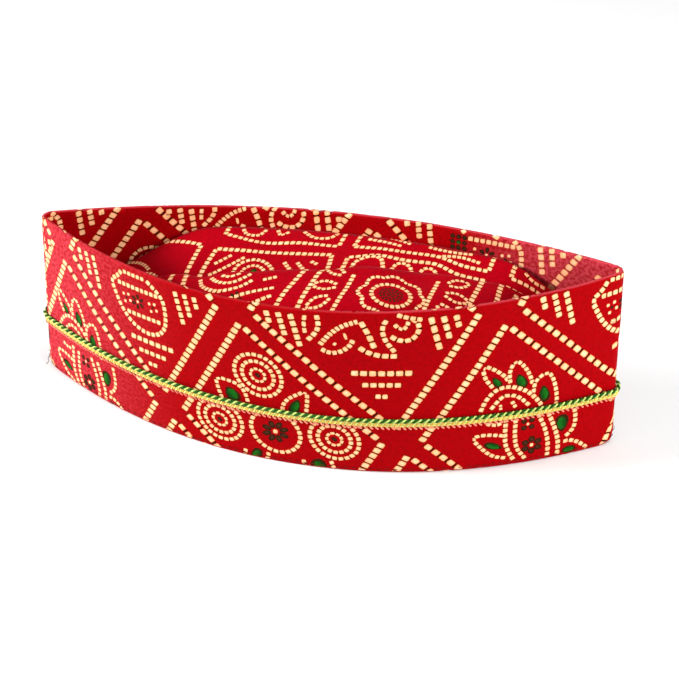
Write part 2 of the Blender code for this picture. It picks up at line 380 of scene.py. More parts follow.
def settled(spot):
    """The lattice drifts on the full side, where the cloth was eased round towards each fold."""
    reach = min(max((spot[0] - cell_peak[0]) / 111.4, -1.4), 1.0)
    lean = 0.06 * (40.0 - spot[1]) * max(reach, 0.0) ** 2
    return spot + np.array([7.0 * reach * reach - 3.4 * reach + lean, 1.8 * reach * reach - 2.1 * reach])


def print_over(x_low, x_high, y_low, y_high, drift=lambda spot: spot):
    """Every mark of the repeat that falls in a window of the printed cloth."""
    marks = []
    for i in range(-12, 13):
        for j in range(-12, 13):
            corner = cell_peak + i * left_pitch + j * right_pitch
            foot = corner + left_side + right_side
            if foot[0] + 80 < x_low or corner[0] - 50 > x_high or foot[1] < y_low or corner[1] > y_high:
                continue
            peak, foot = drift(corner), drift(foot)
            left, right = drift(corner + left_side), drift(corner + right_side)
            marks += dash_row([peak, left], *close_row) + dash_row([right, foot], *close_row)
            for start, end in ((peak, right), (left, foot)):
                inward = (end - start) * 0.027
                marks += dash_row([start + inward, end - inward], *spaced_row, spaced_cream)
            origin, motif = motifs[(j - i) % 4]
            squeeze = min(1.0, (right - left)[0] / (right_side - left_side)[0])
            middle = (left_side + right_side) / 2
            start = drift(corner + middle) - middle - origin * (squeeze, 1.0)
            marks += moved(motif, start, ((squeeze, 0.0), (0.0, 1.0)))
    return [m for m in marks if x_low < m[2][0] < x_high and y_low < m[2][1] < y_high]


def kept_apart(marks):
    """Marks without those that would lie on another, as a printer's block never doubles up."""
    taken, kept = {}, []
    for mark in marks:
        x, y = mark[2]
        reach = 0.42 * (np.linalg.norm(mark[3]) + np.linalg.norm(mark[4])) + 0.25
        column, row = int(x // 3), int(y // 3)
        around_it = [(column + i, row + j) for i in (-1, 0, 1) for j in (-1, 0, 1)]
        near = [other for place in around_it for other in taken.get(place, ())]
        if any(math.hypot(x - a, y - b) < 0.8 * max(reach, r) for a, b, r in near):
            continue
        taken.setdefault((column, row), []).append((x, y, reach))
        kept.append(mark)
    return kept


def inside_margin(outline, width, height, margin=0.06):
    """The part of an outline that lies inside the cut edges of a strip, corner by corner."""
    points = [tuple(p) for p in outline]
    edges = [(0, margin, True), (0, width - margin, False), (1, margin, True), (1, height - margin, False)]
    for axis, bound, keep_above in edges:
        result = []
        for p, q in zip(points, points[1:] + points[:1]):
            p_in = (p[axis] > bound) == keep_above
            q_in = (q[axis] > bound) == keep_above
            if p_in:
                result.append(p)
            if p_in != q_in:
                share = (bound - p[axis]) / (q[axis] - p[axis])
                result.append((p[0] + (q[0] - p[0]) * share, p[1] + (q[1] - p[1]) * share))
        points = result
        if len(points) < 3:
            return None
    return points


def cloth_mesh(name, outline, inner_spots, marks, place):
    """Cloth cut to an outline, with every printed mark as faces of its own."""
    spots = [tuple(p) for p in outline]
    rings = [list(range(len(spots)))]
    spots += [tuple(p) for p in inner_spots]
    for mark in marks:
        x, y = np.asarray(mark[1]).T
        turned = np.sum(x * np.roll(y, -1) - y * np.roll(x, -1)) < 0
        ring = list(range(len(spots), len(spots) + len(mark[1])))
        rings.append(ring[::-1] if turned else ring)
        spots += [tuple(p) for p in mark[1]]
    found = delaunay_2d_cdt([Vector(s) for s in spots], [], rings, 1, 1e-4, True)
    flat = np.array([tuple(v) for v in found[0]])
    faces = [f for f, owners in zip(found[2], found[5]) if 0 in owners]
    owners = [max(o) for o in found[5] if 0 in o]
    mesh = bpy.data.meshes.new(name)
    mesh.from_pydata((place(flat) / 1000.0).tolist(), [], faces)
    corners = np.array([corner.vertex_index for corner in mesh.loops])
    owner = np.repeat(np.array(owners), [len(f) for f in faces])
    cloth = flat[corners]
    tone_of = np.random.default_rng(7).random(len(marks) + 1)
    middle = np.array([(0.0, 0.0)] + [m[2] for m in marks])[owner]
    ahead = np.array([(1.0, 0.0)] + [m[3] for m in marks])[owner]
    across = np.array([(0.0, 1.0)] + [m[4] for m in marks])[owner]
    off = cloth - middle
    det = ahead[:, 0] * across[:, 1] - ahead[:, 1] * across[:, 0]
    forward = (off[:, 0] * across[:, 1] - off[:, 1] * across[:, 0]) / det
    sideways = (ahead[:, 0] * off[:, 1] - ahead[:, 1] * off[:, 0]) / det
    local = np.where(owner[:, None] > 0, np.stack([forward, sideways], axis=1), 3.0)
    ink = np.array([ground] + [m[0] for m in marks])[owner]
    dyed = np.stack([ink / last_ink, tone_of[owner]], axis=1)
    for layer, values in (("cloth", cloth / 1000.0), ("mark", local), ("ink", dyed)):
        uv = mesh.uv_layers.new(name=layer)
        uv.data.foreach_set("uv", values.astype(np.float32).ravel())
    mesh.update()
    return mesh


def sewn(mesh):
    """The mesh with the cut edges that meet joined and no spots left over, shaded smooth."""
    work = bmesh.new()
    work.from_mesh(mesh)
    spare = [spot for spot in work.verts if not spot.link_faces]
    bmesh.ops.delete(work, geom=spare, context="VERTS")
    bmesh.ops.remove_doubles(work, verts=work.verts, dist=0.00001)
    work.to_mesh(mesh)
    work.free()
    mesh.shade_smooth()
    obj = bpy.data.objects.new(mesh.name, mesh)
    bpy.context.scene.collection.objects.link(obj)
    return obj


cloth_span = 2 * (wall_span + turn_span)
around_stops = np.linspace(0.0, around, around_steps + 1)
wall_stops = np.linspace(0.0, wall_span, up_steps + 1)
turn_stops = wall_span + np.linspace(0.0, turn_span, 7)[1:-1]
one_side = np.concatenate([wall_stops, turn_stops])
up_stops = np.concatenate([one_side, wall_span + turn_span + one_side, [cloth_span]])
cut_edge = [(u, 0.0) for u in around_stops[:-1]] + [(around, w) for w in up_stops[:-1]]
cut_edge += [(u, cloth_span) for u in around_stops[:0:-1]] + [(0.0, w) for w in up_stops[:0:-1]]
inner_grid = [(u, w) for u in around_stops[1:-1] for w in up_stops[1:-1]]
# On the full side's outside the print stands as worn; inside, the doubled cloth shows another
# stretch of the same repeat, evenly spaced and a little off its grain.
top_of_print, print_height = 87.2, 0.989
inside_slant, inside_start, inside_rise = 0.127, 51.2, 7.4
outside = print_over(1.6, around + 5.4, -5.0, 90.0, settled)
outside = moved(outside, np.array([-3.4, top_of_print]), ((1, 0), (0, -print_height)))
inside = print_over(-70.0, 760.0, -1.0, 95.0)
to_peak = np.array([inside_slant * cell_peak[1] - cell_peak[0], -cell_peak[1]])
inside = moved(inside, to_peak, ((1, -inside_slant), (0, 1)))
to_edge = np.array([around - inside_start, wall_span + turn_span / 2 + inside_rise])
inside = moved(inside, to_edge, ((-1, 0), (0, print_height)))
# one square of dark seeds round a green one, on the flat side's inside
seed_square, seed_step, seed_radius = np.array([372.6, 96.8]), 2.9, 1.3
seeds = []
for i in (-1, 0, 1):
    for j in (-1, 0, 1):
        seed_at = seed_square + seed_step * np.array([i, j])
        seed_ink = petal_brown if i or j else leaf_green
        seeds.append(oval(seed_at, seed_radius, seed_radius, 0, 8, 0.0, seed_ink))
cuff_marks = []
over_edge = wall_span + turn_span * 0.8
outside = [mark for mark in outside if mark[2][1] <= over_edge]
inside = [mark for mark in inside if mark[2][1] > over_edge]
inside = [mark for mark in inside if np.abs(mark[2] - seed_square).max() > 2 * seed_step - 0.2]
for mark in kept_apart(outside + seeds + inside):
    cut = inside_margin(mark[1], around, cloth_span)
    if cut:
        cuff_marks.append((mark[0], np.array(cut), *mark[2:]))
cuff = sewn(cloth_mesh("cuff_cloth", cut_edge, inner_grid, cuff_marks, cuff_place))


def value(tree, operation, *inputs):
    """A Math node on values or sockets."""
    node = tree.nodes.new("ShaderNodeMath")
    node.operation = operation
    for socket, given in zip(node.inputs, inputs):
        if isinstance(given, (int, float)):
            socket.default_value = given
        else:
            tree.links.new(given, socket)
    return node.outputs[0]


def step(tree, given, low, high):
    """0 below low, 1 above high, eased between."""
    node = tree.nodes.new("ShaderNodeMapRange")
    node.interpolation_type = "SMOOTHSTEP"
    tree.links.new(given, node.inputs["Value"])
    node.inputs["From Min"].default_value = min(low, high)
    node.inputs["From Max"].default_value = max(low, high)
    node.inputs["To Min"].default_value = 0.0 if low < high else 1.0
    node.inputs["To Max"].default_value = 1.0 if low < high else 0.0
    return node.outputs["Result"]


def blended(tree, share, first, second):
    """A colour mix of colours or sockets."""
    node = tree.nodes.new("ShaderNodeMix")
    node.data_type = "RGBA"
    for name, kind, given in (("Factor", "VALUE", share), ("A", "RGBA", first), ("B", "RGBA", second)):
        socket = [s for s in node.inputs if s.name == name and s.type == kind][0]
        if isinstance(given, (int, float)):
            socket.default_value = given
        elif isinstance(given, tuple):
            socket.default_value = (*given, 1.0)
        else:
            tree.links.new(given, socket)
    return [s for s in node.outputs if s.type == "RGBA"][0]


def group_tree(name, inputs, outputs):
    """An empty shader node group with named sockets."""
    tree = bpy.data.node_groups.new(name, "ShaderNodeTree")
    for label, kind, default in inputs:
        socket = tree.interface.new_socket(name=label, in_out="INPUT", socket_type=kind)
        if default is not None:
            socket.default_value = default
    for label, kind in outputs:
        tree.interface.new_socket(name=label, in_out="OUTPUT", socket_type=kind)
    return tree, tree.nodes.new("NodeGroupInput"), tree.nodes.new("NodeGroupOutput")


def noise(tree, place, scale, detail=2.0):
    """Soft grey noise over a place."""
    node = tree.nodes.new("ShaderNodeTexNoise")
    node.inputs["Scale"].default_value = scale
    node.inputs["Detail"].default_value = detail
    tree.links.new(place, node.inputs["Vector"])
    return node.outputs["Fac"]


# The weave: threads over and under each other, by the cloth's own two directions.
weave, given, out = group_tree(
    "plain_weave",
    [("Cloth", "NodeSocketVector", None), ("Thread", "NodeSocketFloat", 0.00048)],
    [("Height", "NodeSocketFloat"), ("Slub", "NodeSocketFloat")],
)
split = weave.nodes.new("ShaderNodeSeparateXYZ")
weave.links.new(given.outputs["Cloth"], split.inputs[0])
warp = value(weave, "DIVIDE", split.outputs[0], given.outputs["Thread"])
weft = value(weave, "DIVIDE", split.outputs[1], given.outputs["Thread"])
warp_wave = value(weave, "SINE", value(weave, "MULTIPLY", warp, math.pi))
weft_wave = value(weave, "SINE", value(weave, "MULTIPLY", weft, math.pi))
over = value(weave, "GREATER_THAN", value(weave, "MULTIPLY", warp_wave, weft_wave), 0.0)
rise = value(weave, "ABSOLUTE", warp_wave)
fall = value(weave, "ABSOLUTE", weft_wave)
warp_on_top = value(weave, "MULTIPLY", rise, over)
weft_on_top = value(weave, "MULTIPLY", fall, value(weave, "SUBTRACT", 1.0, over))
weave.links.new(value(weave, "ADD", warp_on_top, weft_on_top), out.inputs["Height"])
weave.links.new(noise(weave, given.outputs["Cloth"], 620.0, 3.0), out.inputs["Slub"])

# The print: what each spot of the cloth is dyed, from the mark that it lies in.
dyes, given, out = group_tree(
    "tied_print",
    [
        ("Cloth", "NodeSocketVector", None),
        ("Mark", "NodeSocketVector", None),
        ("Ink", "NodeSocketVector", None),
        ("Red", "NodeSocketColor", (0.6, 0.0, 0.004, 1.0)),
    ],
    [("Color", "NodeSocketColor"), ("Printed", "NodeSocketFloat")],
)
mark = dyes.nodes.new("ShaderNodeSeparateXYZ")
dyes.links.new(given.outputs["Mark"], mark.inputs[0])
ink = dyes.nodes.new("ShaderNodeSeparateXYZ")
dyes.links.new(given.outputs["Ink"], ink.inputs[0])
kind = value(dyes, "MULTIPLY", ink.outputs[0], last_ink)
tone = ink.outputs[1]
bleed = value(dyes, "SUBTRACT", noise(dyes, given.outputs["Cloth"], 900.0, 2.0), 0.5)
bleed = value(dyes, "MULTIPLY", bleed, 0.35)
ahead = value(dyes, "ABSOLUTE", mark.outputs[0])
across = value(dyes, "ABSOLUTE", mark.outputs[1])
is_spaced = value(dyes, "COMPARE", kind, spaced_cream, 0.4)
is_cream = value(dyes, "ADD", value(dyes, "COMPARE", kind, cream, 0.4), is_spaced)
length = value(dyes, "MULTIPLY", ahead, value(dyes, "ADD", 1.20, value(dyes, "MULTIPLY", is_spaced, 0.16)))
squareness = 4.5
long_part = value(dyes, "POWER", length, squareness)
wide_part = value(dyes, "POWER", across, squareness)
corner = value(dyes, "POWER", value(dyes, "ADD", long_part, wide_part), 1 / squareness)
square = step(dyes, value(dyes, "ADD", corner, bleed), 1.02, 0.86)
bar_edge = value(dyes, "ADD", ahead, value(dyes, "MULTIPLY", bleed, 0.4))
bar = value(dyes, "MULTIPLY", step(dyes, bar_edge, 0.78, 0.86), step(dyes, across, 1.02, 0.94))
is_leaf = value(dyes, "COMPARE", kind, leaf_green, 0.4)
is_petal = value(dyes, "COMPARE", kind, petal_brown, 0.4)
uneven = value(dyes, "MULTIPLY", noise(dyes, given.outputs["Cloth"], 35.0, 3.0), 0.35)
reds = blended(dyes, uneven, given.outputs["Red"], (0.24, 0.0, 0.003))
creams = blended(dyes, tone, (0.90, 0.53, 0.31), (0.88, 0.46, 0.24))
creams = blended(dyes, step(dyes, corner, 0.45, 0.95), creams, (0.85, 0.34, 0.13))
colour = blended(dyes, value(dyes, "MULTIPLY", bar, is_cream), reds, (0.020, 0.005, 0.001))
colour = blended(dyes, value(dyes, "MULTIPLY", square, is_cream), colour, creams)
ahead_squared = value(dyes, "MULTIPLY", ahead, ahead)
across_squared = value(dyes, "MULTIPLY", across, across)
round_edge = value(dyes, "SQRT", value(dyes, "ADD", ahead_squared, across_squared))
leafy = blended(dyes, step(dyes, mark.outputs[1], -0.7, 0.5), (0.003, 0.040, 0.004), (0.007, 0.110, 0.007))
leaf_rim = step(dyes, value(dyes, "ADD", round_edge, bleed), 0.58, 0.76)
leafy = blended(dyes, leaf_rim, leafy, (0.028, 0.010, 0.002))
petals = blended(dyes, step(dyes, round_edge, 0.2, 0.9), (0.050, 0.018, 0.006), (0.016, 0.005, 0.002))
colour = blended(dyes, is_leaf, colour, leafy)
colour = blended(dyes, is_petal, colour, petals)
dyes.links.new(colour, out.inputs["Color"])
printed = value(dyes, "ADD", value(dyes, "MULTIPLY", square, is_cream), is_leaf)
dyes.links.new(value(dyes, "ADD", printed, is_petal), out.inputs["Printed"])


def wear_and_painted_sheen(tree, colour, cloth, fold_at, printed, slub):
    """The cuff's wear and painted light: its top fold paled by wear, with a painted highlight from the
    middle of the full side on, and painted sheen on the bare red at the left end's outside and the right
    end's inside."""
    split = tree.nodes.new("ShaderNodeSeparateXYZ")
    tree.links.new(cloth, split.inputs[0])
    run, up = split.outputs[0], split.outputs[1]
    fold_wear_and_highlight = value(tree, "ABSOLUTE", value(tree, "SUBTRACT", up, fold_at))
    fold_wear_and_highlight = step(tree, fold_wear_and_highlight, 0.0012, 0.0003)
    # Wear pales the whole fold a little; from the middle of the full side on, a painted highlight of the
    # edge pales it more.
    painted_edge_highlight = value(tree, "MULTIPLY", step(tree, run, 0.13, 0.20), 0.16)
    fold_wear_and_highlight = value(tree, "MULTIPLY", fold_wear_and_highlight, value(tree, "ADD", 0.05, painted_edge_highlight))
    colour = blended(tree, fold_wear_and_highlight, colour, (0.90, 0.16, 0.20))
    # Painted sheen: the bare red is tinted pink at the left end's outside and the right end's inside,
    # mottled by the slubs, where a lamp grazes the cloth.
    outer = step(tree, up, fold_at + 0.001, fold_at - 0.001)
    inner = value(tree, "SUBTRACT", 1.0, outer)
    round_fold = step(tree, run, (around - 60.0) / 1000.0, around / 1000.0)
    left_painted_sheen = value(tree, "ADD", step(tree, run, 0.095, 0.005), round_fold)
    left_painted_sheen = value(tree, "MULTIPLY", left_painted_sheen, outer)
    right_painted_sheen = value(tree, "MULTIPLY", step(tree, run, 0.27, 0.30), inner)
    right_painted_sheen = value(tree, "MULTIPLY", right_painted_sheen, step(tree, run, 0.380, 0.325))
    painted_sheen = value(tree, "ADD", left_painted_sheen, value(tree, "MULTIPLY", right_painted_sheen, 1.3))
    undyed = value(tree, "SUBTRACT", 1.0, printed)
    painted_sheen = value(tree, "MULTIPLY", value(tree, "MULTIPLY", painted_sheen, undyed), 0.36)
    sheen_mottle = step(tree, slub, 0.36, 0.64)
    painted_sheen = value(tree, "MULTIPLY", painted_sheen, value(tree, "ADD", 0.4, sheen_mottle))
    return blended(tree, painted_sheen, colour, (0.56, 0.070, 0.095))


def printed_cotton(name, red=(0.29, 0.0, 0.001), fold_at=None):
    """The cap's cotton: the print, the weave with painted shade where its threads dip, and a soft sheen;
    given a fold, paler along it with wear and a painted highlight, and with painted sheen at the ends.
    """
    material = bpy.data.materials.new(name)
    material.use_nodes = True
    tree = material.node_tree
    shader = tree.nodes["Principled BSDF"]
    maps = {}
    for layer in ("cloth", "mark", "ink"):
        node = tree.nodes.new("ShaderNodeUVMap")
        node.uv_map = layer
        maps[layer] = node.outputs["UV"]
    prints = tree.nodes.new("ShaderNodeGroup")
    prints.node_tree = dyes
    prints.inputs["Red"].default_value = (*red, 1.0)
    for socket, layer in (("Cloth", "cloth"), ("Mark", "mark"), ("Ink", "ink")):
        tree.links.new(maps[layer], prints.inputs[socket])
    threads = tree.nodes.new("ShaderNodeGroup")
    threads.node_tree = weave
    tree.links.new(maps["cloth"], threads.inputs["Cloth"])
    # The weave's height tints the colour as painted shade, each thread darker where it dips under the next;
    # the slubs add the yarn's uneven tone.
    depth = value(tree, "MULTIPLY", threads.outputs["Height"], 0.30)
    slubs = value(tree, "MULTIPLY", step(tree, threads.outputs["Slub"], 0.34, 0.68), 0.22)
    tone = value(tree, "ADD", value(tree, "ADD", depth, slubs), 0.70)
    shaded = tree.nodes.new("ShaderNodeVectorMath")
    shaded.operation = "SCALE"
    tree.links.new(prints.outputs["Color"], shaded.inputs[0])
    tree.links.new(tone, shaded.inputs["Scale"])
    colour = shaded.outputs[0]
    if fold_at is not None:
        printed, slub = prints.outputs["Printed"], threads.outputs["Slub"]
        colour = wear_and_painted_sheen(tree, colour, maps["cloth"], fold_at, printed, slub)
    tree.links.new(colour, shader.inputs["Base Color"])
    rough = value(tree, "ADD", 0.62, value(tree, "MULTIPLY", threads.outputs["Slub"], 0.3))
    tree.links.new(rough, shader.inputs["Roughness"])
    shader.inputs["Sheen Weight"].default_value = 0.05
    shader.inputs["Sheen Roughness"].default_value = 0.28
    shader.inputs["Sheen Tint"].default_value = (1.0, 0.45, 0.55, 1.0)
    shader.inputs["Specular IOR Level"].default_value = 0.02
    relief = value(tree, "MULTIPLY", threads.outputs["Slub"], 1.2)
    relief = value(tree, "ADD", threads.outputs["Height"], relief)
    bump = tree.nodes.new("ShaderNodeBump")
    bump.inputs["Strength"].default_value = 0.5
    bump.inputs["Distance"].default_value = 0.00012
    tree.links.new(relief, bump.inputs["Height"])
    tree.links.new(bump.outputs["Normal"], shader.inputs["Normal"])
    return material


cuff.data.materials.append(printed_cotton("cuff_cotton", fold_at=(wall_span + turn_span / 2) / 1000.0))
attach(cuff, "root")
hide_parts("cuff")

# The inner band.
# The thin wall of the cap proper, of the same cotton in one layer. It stands inside the cuff, is
# sewn to it along the rim and to the crown along its top, and leans away from the cuff at the folds.
band_cloth, cuff_to_band, band_set_back = 1.2, 0.4, 9.0
seam_depth, crown_cloth, seam_gap = 10.5, 1.4, 0.3
left_droop, left_droop_from = 31.0, 0.45
right_droop, right_droop_from = 17.5, 0.64
band_outside = cuff_cloth + cuff_to_band


def eased(share):
    """A share from 0 to 1, slow at both ends."""
    share = np.clip(share, 0.0, 1.0)
    return share * share * (3.0 - 2.0 * share)


def seam_height(along):
    """Height of the seam that joins the crown to the band."""
    start = np.where(along < 0, left_droop_from, right_droop_from)
    droop = np.where(along < 0, left_droop, right_droop)
    return edge_height(along) - seam_depth - droop * eased((np.abs(along) - start) / (1.0 - start))


def band_place(spots):
    """Where a spot of the band's cloth lies, u round the cap and w its height."""
    along = np.interp(spots[:, 0], ring_run, ring_along)
    turn = np.interp(spots[:, 0], ring_run, ring_turn)
    inset = band_outside + 0.15 + 0.10 * np.sin(spots[:, 0] / 11.0) * np.sin(spots[:, 1] / 17.0)
    return lens(along, turn, spots[:, 1], inset, band_set_back)


def given_thickness(obj, thickness):
    """The sheet as closed cloth of one thickness, laid inward from its face."""
    solid = obj.modifiers.new("cloth", "SOLIDIFY")
    solid.thickness = thickness / 1000.0
    solid.offset = -1.0
    bpy.context.view_layer.update()
    mesh = bpy.data.meshes.new_from_object(obj.evaluated_get(bpy.context.evaluated_depsgraph_get()))
    obj.modifiers.clear()
    obj.data = mesh
    mesh.shade_smooth()


band_stops = np.linspace(0.0, around, 161)
stop_along = np.interp(band_stops, ring_run, ring_along)
stop_turn = np.interp(band_stops, ring_run, ring_turn)
band_low = 0.8 + corner_drop(stop_along, stop_turn, rim_corner)
band_high = seam_height(stop_along) - crown_cloth - seam_gap
band_low[-1], band_high[-1] = band_low[0], band_high[0]
side_shares = np.linspace(0.0, 1.0, 13)
left_cut = [(0.0, band_low[0] + (band_high[0] - band_low[0]) * k) for k in side_shares]
right_cut = [(around, w) for _, w in left_cut]
band_edge = list(zip(band_stops[:-1], band_low[:-1])) + right_cut[:-1]
band_edge += list(zip(band_stops[:0:-1], band_high[:0:-1])) + left_cut[:0:-1]
band_inner = [
    (u, low + (high - low) * k)
    for u, low, high in zip(band_stops[1:-1], band_low[1:-1], band_high[1:-1])
    for k in side_shares[1:-1]
]
band_marks = print_over(-2.0, around + 2.0, -3.0, 88.0)
band_marks = kept_apart(moved(band_marks, np.array([0.0, 84.0]), ((1, 0), (0, -1))))
band_marks = [m for m in band_marks if 1.8 < m[2][0] < around - 1.8]
band = sewn(cloth_mesh("band_cloth", band_edge, band_inner, band_marks, band_place))
band.data.materials.append(printed_cotton("band_cotton"))
given_thickness(band, band_cloth - 0.3)
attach(band, "root")
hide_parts("inner_band")

# The crown.
# The soft top panel, one layer of the cotton on another grain, so that its lattice lies square to
# the cap. It is gathered into the seam, sunk on the flat side and puffed up on the full side.
seam_allowance = 1.8
shoulder_at, shoulder_share = 0.45, 0.86
crown_sections = np.array(
    [
        # share of the length, crease at, crest at, crease depth, crest height
        (-1.00, 0.50, 0.68, 0.0, 0.0),
        (-0.75, 0.60, 0.78, 1.0, 4.5),
        (-0.58, 0.58, 0.79, 6.2, 2.0),
        (-0.43, 0.54, 0.77, 7.6, 3.2),
        (-0.27, 0.49, 0.72, 4.8, 7.0),
        (0.00, 0.40, 0.60, 2.9, 8.2),
        (0.20, 0.31, 0.49, 2.4, 6.8),
        (0.45, 0.28, 0.42, 2.8, 3.0),
        (0.62, 0.30, 0.42, 4.2, 0.0),
        (0.78, 0.36, 0.50, 3.6, -0.8),
        (1.00, 0.50, 0.68, 0.0, 0.0),
    ]
)


def crown_lift(along, across):
    """Height of one column of the crown above its seam, across from the flat side to the full."""
    k = min(max(int(np.searchsorted(crown_sections[:, 0], along)), 1), len(crown_sections) - 1)
    low, high = crown_sections[k - 1], crown_sections[k]
    share = eased((along - low[0]) / (high[0] - low[0]))
    crease_at, crest_at, depth, crest = (low + (high - low) * share)[1:]
    knots = [(0.0, 0.0), (crease_at, -depth), (crest_at, crest)]
    knots += [(crest_at + (1 - crest_at) * shoulder_at, crest * shoulder_share), (1.0, 0.0)]
    lift = 0.0 * across
    for (a, from_lift), (b, to_lift) in zip(knots, knots[1:]):
        t = (across - a) / (b - a)
        t = t if a == 0.0 else (t * t if b == 1.0 else eased(t))
        lift = np.where((across >= a) & (across <= b), from_lift + (to_lift - from_lift) * t, lift)
    return lift


def wrinkles(x, v, edge):
    """Small soft creases of the gathered panel. v is measured from the lengthwise crease."""
    ripple = 0.55 * np.sin(x / 7.5 + 1.4 * np.sin(v / 9.0)) * np.exp(-(((v + 17.0) / 9.0) ** 2))
    ripple += 0.45 * np.sin(x / 5.2 + v / 6.0) * np.exp(-(((v - 24.0) / 7.0) ** 2))
    ripple += 0.30 * np.sin(x / 15.0 - v / 8.0 + 0.6)
    return ripple * edge


fold_columns = np.linspace(0.0, 0.46, 7)[1:]
side_columns = np.sin(np.linspace(-np.pi / 2, np.pi / 2, 97))
column_along = np.concatenate([fold_columns * 0 - 1, side_columns, fold_columns * 0 + 1])
column_turn = np.concatenate([fold_columns[::-1], side_columns * 0, fold_columns])
column_seam = seam_height(column_along)
near_hem = lens(column_along, column_turn, column_seam, band_outside, band_set_back)
far_hem = lens(column_along, 1.0 - column_turn, column_seam, band_outside, band_set_back)
across_stops = np.linspace(0.0, 1.0, 61)
column_x = (near_hem[:, 0] + far_hem[:, 0]) / 2
columns, column_v = [], []
for along, near, far in zip(column_along, near_hem, far_hem):
    hem = min(0.3, seam_allowance / np.linalg.norm(near - far))
    shares = np.concatenate([[0.0], hem + (1 - 2 * hem) * across_stops, [1.0]])
    points = far + (near - far) * shares[:, None]
    points[1:-1, 2] += crown_lift(along, across_stops)
    run = np.concatenate([[0.0], np.cumsum(np.linalg.norm(np.diff(points, axis=0), axis=1))])
    crease_at = np.interp(along, crown_sections[:, 0], crown_sections[:, 1])
    columns.append(points)
    column_v.append(np.interp(hem + (1 - 2 * hem) * crease_at, shares, run) - run)
columns, column_v = np.array(columns), np.array(column_v)


def crown_place(spots):
    """Where a spot of the crown's cloth lies, x along the cap and v across it from the crease."""
    at = np.interp(spots[:, 0], column_x, np.arange(len(column_x)))
    left = np.minimum(at.astype(int), len(column_x) - 2)
    share = (at - left)[:, None]
    result = np.zeros((len(spots), 3))
    for k in np.unique(left):
        here = left == k
        sides = []
        for c in (k, k + 1):
            v = np.clip(spots[here, 1], column_v[c, -1], column_v[c, 0])
            place = [np.interp(-v, -column_v[c], columns[c, :, a]) for a in range(3)]
            sides.append(np.stack(place, axis=1))
        result[here] = sides[0] + (sides[1] - sides[0]) * share[here]
        top = column_v[k, 0] + (column_v[k + 1, 0] - column_v[k, 0]) * share[here, 0]
        foot = column_v[k, -1] + (column_v[k + 1, -1] - column_v[k, -1]) * share[here, 0]
        edge = eased((top - spots[here, 1]) / 9.0) * eased((spots[here, 1] - foot) / 9.0)
        edge = edge * eased((121.0 - np.abs(spots[here, 0])) / 20.0)
        result[here, 2] += wrinkles(spots[here, 0], spots[here, 1], edge)
    return result


